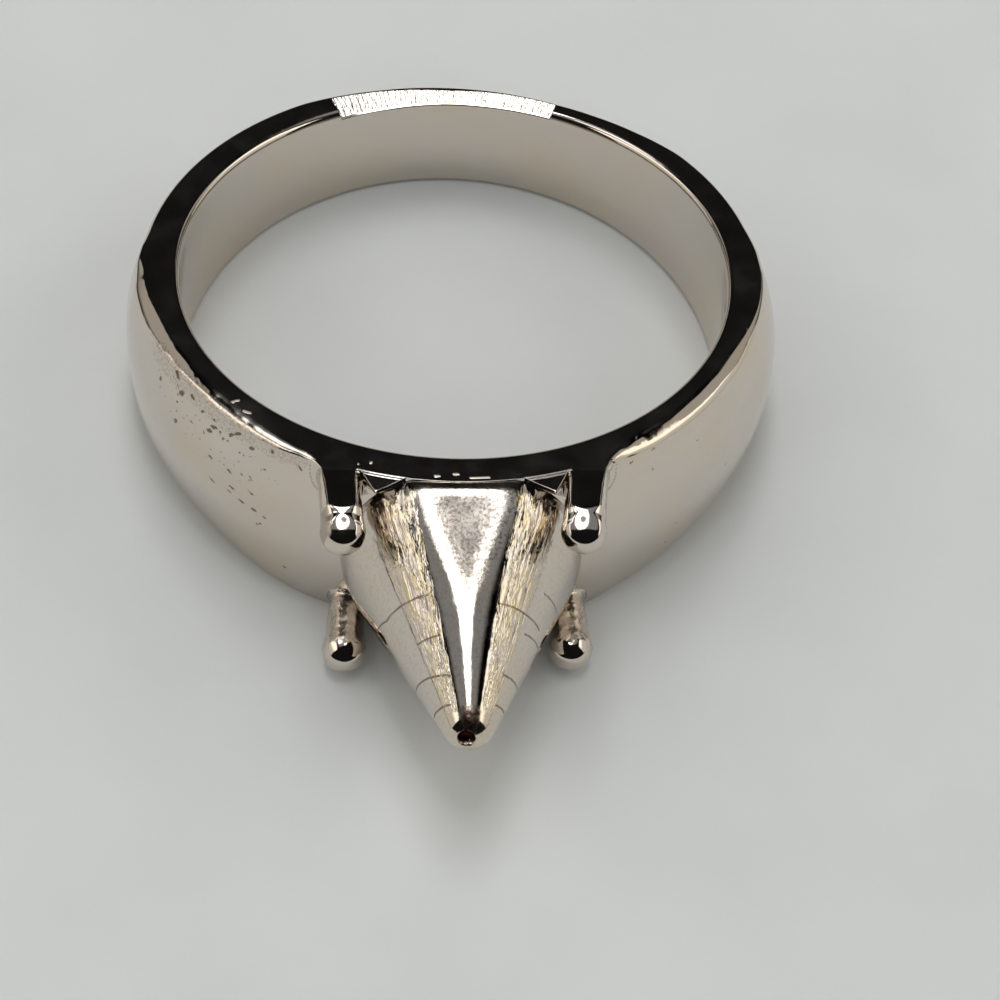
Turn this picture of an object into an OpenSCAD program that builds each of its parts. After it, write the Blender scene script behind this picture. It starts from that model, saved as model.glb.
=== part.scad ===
// Spike ring: a finger ring of polished silver-tone metal with a round spike
// set between four short ball-ended prongs. It lies on its side, finger hole
// up, resting on its lower rim. The spike points along -Y. Units are mm.

/* [Finger hole] */
// Radius of the finger hole
finger_r = 8.5; // [7:0.1:11]
// Width and depth of the rounding on the hole's two edges
edge_r = 0.2; // [0.05:0.05:0.3]

/* [Band] */
// Height of the band beside the finger axis
band_h = 4.92; // [4:0.02:7]
// Lean of each rim, which makes the band taller at the spike than at the back
taper_deg = 4.39; // [2:0.01:6]
// Radius of the shank's outer wall at mid height
shank_r = 10.12; // [9.8:0.01:10.4]
// Shift of the shank's outer wall to the front, which thins the back
shank_shift = 0.62; // [0:0.01:0.7]
// Curve of the shank's outer wall between the rims
shank_dome_r = 5.8; // [4:0.1:12]

/* [Shoulders] */
// Radius of the outer wall at mid height, on the shoulders and under the spike
shoulder_r = 10.18; // [9.8:0.01:10.6]
// Curve of that wall between the rims
shoulder_dome_r = 9; // [6:0.1:14]
// Radius of the flat part of the rim on the shoulders
flat_r = 9.25; // [9:0.01:9.6]
// Slope of the bevel between that flat and the outer wall
bevel_deg = 24; // [10:1:45]
// Distance of the bevels' front ends from the middle
shoulder_x = 3.9; // [3.6:0.01:4.4]
// Place of the step between the shank and the shoulders
step_y = 0.2; // [-1:0.1:2]

/* [Back facet] */
// Half the angle that the ground facet spans at the back
facet_deg = 23.5; // [10:0.5:40]
// Outer radius of the ground facet
facet_r = 9.12; // [8.8:0.01:9.3]
// Slope of the ground facet
facet_slope_deg = 19; // [5:1:40]

/* [Prongs] */
// Distance of the prong balls from the middle
ball_x = 3.48; // [3.3:0.01:3.8]
// Distance of the prong balls from the finger axis
ball_y = 11.12; // [10.5:0.01:12]
// Height of the prong balls from mid height
ball_z = 2.63; // [2.4:0.01:3]
// Radius of the prong balls
ball_r = 0.66; // [0.4:0.01:0.7]
// Distance of the prongs' roots from the middle
root_x = 3.82; // [3.6:0.01:4]
// Height of the prongs' roots from mid height
root_z = 2.9; // [2.5:0.01:3.2]
// Radius of the prong necks
neck_r = 0.62; // [0.3:0.01:0.7]

/* [Spike] */
// Radius of the spike at its base
spike_r = 3.62; // [3:0.01:4]
// Distance from the finger axis at which the base rounds off
base_y = 9.9; // [9.7:0.01:10.2]
// Distance from the finger axis at which the straight flank starts
flank_y = 10.6; // [10.2:0.01:11]
// Distance from the finger axis at which the flanks would meet
apex_y = 18.04; // [16:0.01:20]
// Radius of the straight flank for each mm short of that point
flank_slope = 0.452; // [0.3:0.001:0.6]
// Distance of the blunt tip from the finger axis
tip_y = 16.88; // [15:0.01:18]
// Radius of the pit in the tip
pit_r = 0.27; // [0.1:0.01:0.3]
// Distance of the pit from the tip's middle to the left
pit_x = 0.1; // [0:0.01:0.3]
// Distance of the pit from the tip's middle upwards
pit_z = 0.2; // [0:0.01:0.3]
// Distance of the filed flats' edge from the finger axis
file_y = 9.98; // [9.8:0.01:10.4]
// Slope of the filed flats above and below the spike
file_deg = 17.5; // [10:0.5:22]
// Gap between the spike and the wall that it stands on
seat_gap = 0.02; // [0.01:0.01:0.1]

/* [Hidden] */
$fn = 96;
half_h = band_h / 2;
lift = half_h * cos(taper_deg);
far = 30;
cut = 1;
// How much of each prong ball's outermost end is worn flat
worn = 0.006;
// Distance from the finger axis to where the prongs' roots start in the wall
root_y = finger_r - 0.2;
// Shift along the table that puts the finger axis' foot at the origin
foot_y = lift * tan(taper_deg);
// Height of the rims at the filed flats' edge
file_z = half_h + file_y * tan(taper_deg);
// Sub-part to show

// Carries what stands on the level rim to the upper rim.
module upper_rim() {
  translate([0, 0, half_h])
    rotate([-taper_deg, 0, 0])
      children();
}

// The same at both rims
module both_rims() {
  upper_rim() children();
  mirror([0, 0, 1]) upper_rim() children();
}

// All between the two rims' planes
module between_rims() {
  rotate([90, 0, 90])
    linear_extrude(height = 2 * far, center = true)
      polygon([
        [-far, half_h + far * tan(taper_deg)],
        [far, half_h - far * tan(taper_deg)],
        [far, -half_h + far * tan(taper_deg)],
        [-far, -half_h - far * tan(taper_deg)]
      ]);
}

// A round body whose outer wall is domed and reaches the radius r
module domed(r, curve_r) {
  rotate_extrude()
    intersection() {
      translate([r - curve_r, 0]) circle(r = curve_r);
      translate([0, -curve_r]) square([r + cut, 2 * curve_r]);
    }
}

// Turns a round body so that its start falls where the part is cut away.
module start_at(angle) {
  rotate([0, 0, angle]) children();
}

// A round body with the outer wall of the shoulders, grown by the gap
module front_body(gap) {
  start_at(90) domed(shoulder_r + gap, shoulder_dome_r + gap);
}

// What was ground off each shoulder between its rim and its outer wall
module bevel_waste() {
  run = 2;
  difference() {
    start_at(90)
      rotate_extrude()
        polygon([
          [flat_r - cut / tan(bevel_deg), cut],
          [flat_r + run, cut],
          [flat_r + run, -run * tan(bevel_deg)]
        ]);
    translate([-shoulder_x, -far, -far]) cube([2 * shoulder_x, far, 2 * far]);
  }
}

// The front half: both shoulders and the wall under the spike
module shoulders() {
  difference() {
    intersection() {
      front_body(0);
      translate([-far, step_y - far, -far]) cube([2 * far, far, 2 * far]);
    }
    both_rims() bevel_waste();
  }
}

module shank() {
  intersection() {
    translate([0, -shank_shift, 0])
      start_at(-90) domed(shank_r, shank_dome_r);
    translate([-far, step_y, -far]) cube([2 * far, far, 2 * far]);
  }
}

module prong() {
  run = [ball_x - root_x, root_y - ball_y, ball_z - root_z];
  long = norm(run);
  translate([root_x, -root_y, root_z])
    rotate([0, acos(run[2] / long), atan2(run[1], run[0])])
      rotate_extrude() {
        square([neck_r, long]);
        intersection() {
          translate([0, long]) circle(r = ball_r);
          translate([0, long - ball_r]) square([ball_r, 2 * ball_r - worn]);
        }
      }
}

module prongs() {
  for (side = [0, 1])
    mirror([side, 0, 0]) {
      prong();
      mirror([0, 0, 1]) prong();
    }
}

// What the rounding takes from a hole edge: two slopes that cross the wall
module edge_waste() {
  mid = 0.3 * edge_r;
  slope = mid / (edge_r - mid);
  deep = 4 * edge_r;
  start_at(140)
    rotate_extrude()
      polygon([
        [finger_r + edge_r + cut / slope, cut],
        [finger_r + mid, -mid],
        [finger_r - (deep - edge_r) * slope, -deep],
        [finger_r - cut, -deep],
        [finger_r - cut, cut]
      ]);
}

// What was ground off the inner half of the upper rim at the back
module facet_waste() {
  run = facet_r - finger_r + cut;
  over = 0.5;
  side = far * tan(facet_deg);
  intersection() {
    rotate_extrude()
      polygon([
        [facet_r + over, over * tan(facet_slope_deg)],
        [facet_r + over, cut],
        [facet_r - run, cut],
        [facet_r - run, -run * tan(facet_slope_deg)]
      ]);
    translate([0, 0, -2 * cut])
      linear_extrude(height = 4 * cut)
        polygon([[0, 0], [side, far], [-side, far]]);
  }
}

module band() {
  color([0.78, 0.77, 0.75])
    lying()
      difference() {
        intersection() {
          union() {
            shank();
            shoulders();
            prongs();
          }
          between_rims();
        }
        start_at(200) cylinder(r = finger_r, h = 2 * far, center = true);
        both_rims() edge_waste();
        upper_rim() facet_waste();
      }
}

// The spike before it is fitted, turned about its own axis
module turned_spike() {
  flank_deg = atan(flank_slope);
  flank_r = flank_slope * (apex_y - flank_y);
  // The ball that rounds the tip touches the flank.
  tip_r = (apex_y - tip_y) / (1 / sin(flank_deg) - 1);
  end_y = tip_y - tip_r + tip_r * sin(flank_deg);
  end_r = tip_r * cos(flank_deg);
  pit_y = tip_y - tip_r + sqrt(tip_r * tip_r - pit_x * pit_x - pit_z * pit_z);
  rotate([90, 0, 0])
    difference() {
      rotate_extrude() {
        polygon([
          [0, finger_r],
          [spike_r, finger_r],
          [spike_r, base_y],
          [flank_r, flank_y],
          [end_r, end_y],
          [0, end_y]
        ]);
        // The rounded tip
        intersection() {
          translate([0, tip_y - tip_r]) circle(r = tip_r);
          translate([0, end_y]) square([end_r, cut]);
        }
      }
      translate([-pit_x, pit_z, pit_y]) sphere(r = pit_r);
    }
}

// Flush with both rims, then filed down along the spike
module filed_slab() {
  drop = (far - file_y) * tan(file_deg);
  rotate([90, 0, -90])
    linear_extrude(height = 2 * far, center = true)
      polygon([
        [0, half_h],
        [file_y, file_z],
        [far, file_z - drop],
        [far, drop - file_z],
        [file_y, -file_z],
        [0, -half_h]
      ]);
}

module spike() {
  color([0.82, 0.81, 0.78])
    lying()
      difference() {
        intersection() {
          turned_spike();
          filed_slab();
        }
        front_body(seat_gap);
      }
}

// Lays the ring on its lower rim.
module lying() {
  translate([0, foot_y, lift])
    rotate([-taper_deg, 0, 0])
      children();
}

band();
spike();
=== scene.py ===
"""Spike ring: a finger ring of polished white metal with a round spike between
four ball-ended prongs, lying on its side. The packed CAD model is the frame, and
the band, the prongs and the spike are made here as fine surfaces around it."""

import math

import bpy
import numpy as np
from bpy.props import FloatProperty, FloatVectorProperty, PointerProperty
from mathutils import Matrix


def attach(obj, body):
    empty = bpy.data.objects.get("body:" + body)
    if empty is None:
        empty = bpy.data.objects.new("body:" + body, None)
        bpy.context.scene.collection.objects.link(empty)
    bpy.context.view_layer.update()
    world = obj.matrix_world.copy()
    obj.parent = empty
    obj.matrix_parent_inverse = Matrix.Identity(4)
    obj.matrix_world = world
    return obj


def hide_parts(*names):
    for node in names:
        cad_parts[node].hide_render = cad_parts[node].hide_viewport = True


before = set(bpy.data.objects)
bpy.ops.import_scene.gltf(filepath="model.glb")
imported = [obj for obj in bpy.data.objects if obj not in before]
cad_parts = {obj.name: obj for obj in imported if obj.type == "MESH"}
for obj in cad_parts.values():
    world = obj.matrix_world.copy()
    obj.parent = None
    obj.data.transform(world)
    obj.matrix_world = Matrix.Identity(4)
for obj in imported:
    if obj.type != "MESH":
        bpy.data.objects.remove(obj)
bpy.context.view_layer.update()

bl_info = {
    "name": "Spike Ring",
    "version": (1, 0, 0),
    "blender": (4, 5, 0),
    "location": "View3D > Sidebar > Spike Ring",
    "description": "Builds a finger ring with a round spike, its metals and a plain stage",
    "category": "Add Mesh",
}

MM = 0.001


# ---------------------------------------------------------------- sizes and looks


def length(name, description, mm):
    """A length property, given in mm and kept in metres."""
    return FloatProperty(
        name=name, description=description, default=mm * MM, unit="LENGTH", precision=5
    )


def number(name, description, value):
    """A plain number property."""
    return FloatProperty(name=name, description=description, default=value)


def angle(name, description, degrees):
    """An angle property, given in degrees and kept in radians."""
    return FloatProperty(
        name=name, description=description, default=math.radians(degrees), subtype="ANGLE"
    )


def linear(code):
    """Linear red, green and blue of an sRGB hex colour such as #c9c9c5."""
    srgb = np.array([int(code[i : i + 2], 16) for i in (1, 3, 5)]) / 255
    return tuple(np.where(srgb <= 0.04045, srgb / 12.92, ((srgb + 0.055) / 1.055) ** 2.4))


def colour(name, description, code):
    """A colour property, given as sRGB hex and kept linear."""
    return FloatVectorProperty(
        name=name, description=description, default=linear(code), subtype="COLOR", min=0, max=1
    )


class BandSizes(bpy.types.PropertyGroup):
    """Sizes of the band, near those of the CAD part."""

    finger_r: length("Hole radius", "Radius of the finger hole", 8.5)
    height: length("Height", "Height of the band beside the finger axis", 4.92)
    lean: angle("Lean", "Lean of each rim, which makes the band taller at the spike", 4.39)
    edge_in: length("Inner rounding", "Width of the rounding on the hole's edges", 0.25)
    edge_down: length("Inner drop", "Depth of the rounding on the hole's edges", 0.34)
    shank_r: length("Shank radius", "Radius of the shank's outer wall at mid height", 10.12)
    shank_shift: length("Shank shift", "Shift of the outer wall that thins the back", 0.62)
    shoulder_r: length("Shoulder radius", "Radius of the front's outer wall", 10.18)
    seat_dome: length("Seat curve", "Curve of the wall under the spike", 9.57)
    bevel: angle("Bevel", "Slope of the bevel along the shoulders' rims", 24)
    facet: angle("Facet half angle", "Half the angle that the back's ground facet spans", 23.5)
    facet_slope: angle("Facet slope", "Slope of the ground facet", 19)


class ProngSizes(bpy.types.PropertyGroup):
    """Sizes of the four prongs."""

    root_x: length("Root X", "Distance of the roots from the middle", 3.72)
    root_y: length("Root Y", "Distance of the roots from the finger axis", 8.3)
    root_z: length("Root Z", "Height of the roots from mid height", 2.78)
    low_in: length("Low root in", "How much nearer the middle the lower roots are", 0.4)
    low_up: length("Low root up", "How much nearer mid height the lower roots are", 0.28)
    ball_r: length("Ball radius", "Radius of the balls", 0.66)
    neck_r: length("Neck radius", "Radius of the necks", 0.62)
    flat_end: length("Flat end", "Distance from the finger axis where the flat top ends", 10.62)
    flat_drop: length("Flat drop", "Height of the flat over the neck's middle", 0.49)
    fillet: length("Fillet", "Radius of the fillet between the wall and the necks", 0.24)
    worn_r: length("Worn top radius", "Radius of the worn top of each ball", 2.0)
    worn_y: length("Worn top Y", "Distance of that radius' middle from the finger axis", 10.479)
    worn_z: length("Worn top Z", "Height of that radius' middle from mid height", 1.32)


class SpikeSizes(bpy.types.PropertyGroup):
    """Sizes of the spike."""

    base_r: length("Base radius", "Radius of the spike at its base", 3.62)
    base_y: length("Base end", "Distance from the finger axis where the base rounds off", 9.9)
    shoulder_slope: number("Shoulder slope", "Radius lost for each mm beyond the base", 0.367)
    apex_y: length("Apex", "Distance from the finger axis where the flanks would meet", 18.04)
    flank_slope: number("Flank slope", "Radius of the flank for each mm short of the apex", 0.452)
    tip_y: length("Tip", "Distance of the blunt tip from the finger axis", 16.88)
    pit_r: length("Pit radius", "Radius of the pit in the tip", 0.27)
    pit_x: length("Pit X", "Distance of the pit from the tip's middle to the left", 0.1)
    pit_z: length("Pit Z", "Distance of the pit from the tip's middle upwards", 0.2)
    file_y: length("Filed edge", "Distance of the filed flats' edge from the finger axis", 9.98)
    file_slope: angle("Filed slope", "Slope of the filed flats", 17.5)
    file_round: length("Filed rounding", "Rounding along the filed flats' sides", 0.2)
    seat_gap: length("Seat gap", "Gap between the spike and the wall that it stands on", 0.004)


class MetalLook(bpy.types.PropertyGroup):
    """Colours and finish of the metal."""

    plate: colour("Plate", "Colour of the bright plating", "#d9d0c7")
    # This colour also tints the spike's highest streaks, partly as a painted warm highlight.
    worn: colour("Worn plate", "Colour where the plating is thin and its brass shows", "#dccb9f")
    grime: colour("Grime", "Colour of the dirt in gouges and marks", "#66503f")
    polish: number("Polish", "Roughness of polished metal", 0.06)
    peel: length("Orange peel", "Width of the waves in the polished surface", 0.5)


class StageLook(bpy.types.PropertyGroup):
    """Floor, lights and camera."""

    floor: colour("Floor", "Colour of the floor", "#dbdddb")
    lamp_strength: number("Lamp strength", "Brightness of the lamp overhead", 5.2)
    lamp_height: length("Lamp height", "Height of the lamp over the floor", 1200)
    side_strength: number("Side strength", "Brightness of the two side screens", 1.6)
    room_strength: number("Room strength", "Brightness of the even light from all round", 0.52)
    focal: number("Focal length", "Camera lens in mm", 137.52)


# ------------------------------------------------------------------------ helpers


def smooth_min(a, b, k):
    """The lesser of a and b, with the corner between them rounded over the width k."""
    return 0.5 * (a + b - np.sqrt((a - b) ** 2 + k * k))


def smooth_max(a, b, k):
    """The greater of a and b, with the corner between them rounded over the width k."""
    return -smooth_min(-a, -b, k)


def ease(x, start, end):
    """0 up to start, 1 from end on, and an even S curve between them."""
    t = np.clip((x - start) / (end - start), 0, 1)
    return t * t * (3 - 2 * t)


def between(x, start, full, until, end):
    """0 up to start, 1 from full to until, and 0 again from end on."""
    return ease(x, start, full) * (1 - ease(x, until, end))


def bezier(a, p, b, steps):
    """Points along the curves that leave a towards p and reach b from p: a Bezier curve
    for each angle. Each corner is (radii, heights), and so is what is given."""
    a, p, b = (np.array(corner)[..., None] for corner in (a, p, b))
    u = np.linspace(0, 1, steps)
    return (1 - u) ** 2 * a + 2 * u * (1 - u) * p + u**2 * b


def ripple(points, size, seed):
    """An even, random swell over points in mm, rarely over 1 high: the sum of 24 plane
    waves over twice the root of 24, from 0.7 to 1.6 times size long, whose directions
    and phases are drawn once."""
    count = 24
    draw = np.random.default_rng(seed)
    way = draw.normal(size=(count, 3))
    way /= np.linalg.norm(way, axis=1, keepdims=True)
    way *= 2 * math.pi / (size * draw.uniform(0.7, 1.6, (count, 1)))
    phase = draw.uniform(0, 2 * math.pi, count)
    total = np.zeros(points.shape[:-1])
    for wave, start in zip(way, phase):
        total += np.cos(points @ wave + start)
    return total / count**0.5 / 2


def waves(points, table):
    """Swells added up, one for each row of a table of depth in mm, length in mm and
    seed."""
    return sum(deep * ripple(points, size, seed) for deep, size, seed in table)


def lay(points, band):
    """Lays points of the ring's own frame, in mm, on the table: a turn by the rims'
    lean about X, then a lift that puts the lower rim on the table, in metres."""
    lean, half = band.lean, band.height / MM / 2
    x, y, z = np.moveaxis(points, -1, 0)
    lift = half * math.cos(lean)
    laid = np.stack(
        [
            x,
            y * math.cos(lean) + z * math.sin(lean) + lift * math.tan(lean),
            z * math.cos(lean) - y * math.sin(lean) + lift,
        ],
        -1,
    )
    return laid * MM


def surface(name, points, material, around=(True, True), caps=(None, None), fields=None):
    """A mesh from a grid of points. Cell (i, j) is the quad between rows i and i+1
    and columns j and j+1, the last row or column joins the first where around says
    so, and a cap is a point that closes the first or the last row with a fan. Fields
    are values at the grid's points, which the materials read by name."""
    rows, columns = points.shape[:2]
    i = np.arange(rows if around[0] else rows - 1)[:, None]
    j = np.arange(columns if around[1] else columns - 1)[None, :]
    i2, j2 = (i + 1) % rows, (j + 1) % columns
    quads = np.stack([i * columns + j, i2 * columns + j, i2 * columns + j2, i * columns + j2], -1)
    faces = quads.reshape(-1, 4).tolist()
    spots = [points.reshape(-1, 3)]
    ring = np.arange(columns)
    for cap, row in zip(caps, (0, rows - 1)):
        if cap is None:
            continue
        pole = np.full(columns, sum(map(len, spots)))
        spots.append(np.array(cap, float)[None])
        edge = row * columns + ring
        fan = [pole, edge, np.roll(edge, -1)] if row == 0 else [pole, np.roll(edge, -1), edge]
        faces += np.stack(fan, -1).tolist()
    spots = np.concatenate(spots)
    mesh = bpy.data.meshes.new(name)
    mesh.from_pydata(spots, [], faces)
    # The grid's own order may wind the faces inwards, which the enclosed volume shows.
    tri = np.array([f[:3] for f in faces]), np.array([[f[0], f[2], f[-1]] for f in faces])
    volume = sum(
        np.einsum("ij,ij->", spots[t[:, 0]], np.cross(spots[t[:, 1]], spots[t[:, 2]])) for t in tri
    )
    if volume < 0:
        mesh.flip_normals()
    mesh.polygons.foreach_set("use_smooth", np.ones(len(mesh.polygons), bool))
    for label, values in (fields or {}).items():
        held = mesh.attributes.new(label, "FLOAT", "POINT")
        flat = np.zeros(len(spots), np.float32)
        flat[: values.size] = values.ravel()
        held.data.foreach_set("value", flat)
    mesh.materials.append(material)
    mesh.validate()
    made = bpy.data.objects.new(name, mesh)
    bpy.context.scene.collection.objects.link(made)
    return made


# --------------------------------------------------------------------------- band


# Outer edge of the flat rim: angle from +X in degrees, radius in mm. The spike is at
# -90 and the back at 90. The shoulders' bevel starts here, so it is cut in by the wear.
RIM_EDGE = (
    (-90, 9.645), (-66, 9.65), (-64.5, 9.64), (-62, 9.50), (-60, 9.36), (-55, 9.20),
    (-47, 9.17), (-42, 9.13), (-35, 9.12), (-30, 9.15), (-26, 9.15), (-20, 9.26),
    (-15, 9.38), (-11, 9.47), (-6, 9.52), (0, 9.54), (6, 9.53), (13, 9.44),
    (38, 9.40), (49, 9.23), (58, 9.14), (66, 9.10), (88, 9.19), (105, 9.30),
    (119, 9.48), (154, 9.55), (169, 9.59), (174, 9.64), (177.5, 9.66), (181, 9.50),
    (188, 9.42), (196, 9.29), (206, 9.21), (214, 9.22), (221, 9.27), (227, 9.35),
    (233, 9.47), (240, 9.60), (243, 9.64), (245, 9.66), (247, 9.65), (270, 9.645),
)
# Outer edge of the bevel, in the same way
CREST = (
    (-90, 9.65), (-69, 9.66), (-65, 9.70), (-62, 9.67), (-55, 9.62), (-47, 9.58),
    (-42, 9.56), (-38, 9.55), (-33, 9.52), (-27, 9.54), (-20, 9.52), (-14, 9.55),
    (-6, 9.60), (0, 9.62), (6, 9.61), (13, 9.52), (38, 9.50), (49, 9.34),
    (58, 9.24), (66, 9.20), (88, 9.29), (105, 9.40), (119, 9.58), (154, 9.65),
    (169, 9.69), (174, 9.74), (177.5, 9.80), (184, 9.87), (192, 9.80), (199, 9.74),
    (205, 9.66), (215, 9.58), (221, 9.60), (228, 9.67), (236, 9.74), (242, 9.74),
    (246, 9.68), (249, 9.66), (270, 9.65),
)
# How far the rim's flat reaches out past that edge beside the spike: degrees from the
# spike, width in mm. First a pointed shelf in the pocket, then the prong's own root.
SHELF = (
    (0, 0), (10.6, 0), (14.7, 0.74), (18.1, 0.03), (19.0, 0.02), (19.6, 0.5), (21, 0.8),
    (22.9, 0.8), (23.4, 0.56), (25, 0.27), (26.5, 0.1), (27.7, 0.03), (29, 0), (180, 0),
)
# Radius from which the rim is stretched to make the shelf, and the shelf's thickness
SHELF_R = 9.3
SHELF_THICK = 0.6
# Radius of the seam along the pockets, and where it runs, in degrees from the spike
SEAM_R = 9.69
SEAM_FROM, SEAM_TO = 10.4, 19
# Outer edge of the ground facet, in the same way
FACET_EDGE = ((60, 9.12), (66.5, 9.10), (90, 9.04), (113.5, 9.33), (120, 9.36))

# Where the band is a shank, worn along its edges, dented along its crest and scuffed: the
# angles where that starts, is full, is still full and ends
SHANK = (-7, 4, 169, 178.5)
WORN_LEFT, WORN_RIGHT = (178, 186, 240, 246), (-62, -56, -16, -8)
DENTED_LEFT, DENTED_RIGHT = (192, 204, 240, 245), (-64, -58, -40, -30)
SCUFFED = (200, 208, 232, 240)
# Slope of the edge where no bevel was ground: under the spike and along the shank
BROKEN_FRONT, BROKEN_SHANK = math.radians(45), math.radians(48)
# Degrees from the spike up to which no bevel was ground, and from where it is whole
BEVEL_FROM = (20, 27)
# Rounding of the bevel's edges, and the most of the bevel's width that it takes
ROUND_MM, ROUND_SHARE = 0.13, 0.42
# Waves as depth, length and seed: in the worn rim's edge and crest, the dents of the
# crest, and what polishing by hand left on the walls
RIM_WAVES = ((0.006, 0.35, 3), (0.025, 1.3, 4))
CREST_WAVES = ((0.004, 0.5, 5), (0.02, 1.8, 6))
DENTS = ((0.008, 0.6, 11), (0.004, 0.3, 12))
HAND_WAVES = ((0.004, 3.0, 13),)

# Gouges that casting and wear left on the shoulders: angle in degrees, height from mid
# height, length and width in mm, and the turn of the length from level in degrees
GOUGES = (
    (204.9, 1.83, 0.22, 0.13, 60), (211.6, 2.19, 0.26, 0.20, 20), (212.0, 1.20, 0.24, 0.15, 50),
    (220.7, 1.96, 0.34, 0.13, 25), (221.6, 2.19, 0.40, 0.12, 20), (225.8, 2.39, 0.30, 0.11, 25),
    (227.2, 2.57, 0.32, 0.12, 30), (222.2, 1.15, 0.24, 0.10, -15), (226.8, 1.16, 0.26, 0.10, -10),
    (223.1, 0.31, 0.30, 0.09, -15), (227.8, 0.59, 0.36, 0.09, -15), (231.9, 0.86, 0.30, 0.08, -20),
    (233.7, -0.26, 0.36, 0.09, 35), (238.3, -1.86, 0.40, 0.09, 30), (235.0, 2.72, 0.16, 0.14, 70),
    (240.8, 2.63, 0.22, 0.09, -40), (218.0, 2.32, 0.24, 0.10, 30), (216.2, 1.72, 0.20, 0.08, 10),
    (230.0, 0.28, 0.30, 0.10, -5), (232.6, 0.24, 0.26, 0.12, 0), (234.8, 0.16, 0.20, 0.09, -10),
    (227.2, 0.36, 0.22, 0.07, 0), (219.0, 1.45, 0.14, 0.07, 0), (214.5, 2.42, 0.30, 0.12, -10),
    (209.0, 2.52, 0.36, 0.13, -20), (230.8, 2.44, 0.26, 0.13, 20), (224.2, 2.08, 0.18, 0.09, 30),
    (-59.3, 2.68, 0.24, 0.09, 20), (-54.3, 2.70, 0.18, 0.10, 0), (-55.0, 2.10, 0.16, 0.08, 30),
    (-43.9, 1.98, 0.14, 0.08, 0), (-36.3, 0.11, 0.20, 0.08, 60), (-50.4, -1.60, 0.20, 0.07, 40),
    (-64.4, -2.32, 0.16, 0.08, 0), (-49.2, -0.79, 0.12, 0.07, 0),
)
# Mean radius of the wall that the gouges lie on, the least radius that they reach, and
# how deep they are in the mesh, which the material's bumps add to
GOUGED_R = 10.1
GOUGED_FROM_R = 9.55
GOUGE_DEEP = 0.006


def along(table, degrees):
    """A table's value at each angle: straight lines between its points, then the
    mean over a window of 3 degrees, weighted to its middle."""
    at, value = np.array(table).T
    window = np.linspace(-1.5, 1.5, 13)
    weight = np.cos(window / 1.5 * math.pi / 2) ** 2 + 1e-6
    seen = np.interp(degrees[:, None] + window[None], at, value)
    return (seen * weight).sum(1) / weight.sum()


def from_spike(degrees):
    """Degrees from the spike's middle to either side."""
    return np.abs((degrees + 90 + 180) % 360 - 180)


def band_columns():
    """The angles at which the band is cut into sections, in degrees, closer together
    on the worn shoulders and at each edge."""
    runs = (
        (-90, -60, 100), (-60, -8, 104), (-8, 6, 30), (6, 66.2, 50), (66.2, 66.8, 6),
        (66.8, 113.2, 60), (113.2, 113.8, 6), (113.8, 166, 44), (166, 186, 40),
        (186, 240, 160), (240, 270, 100),
    )
    return np.concatenate([np.linspace(a, b, n, endpoint=False) for a, b, n in runs])


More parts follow.
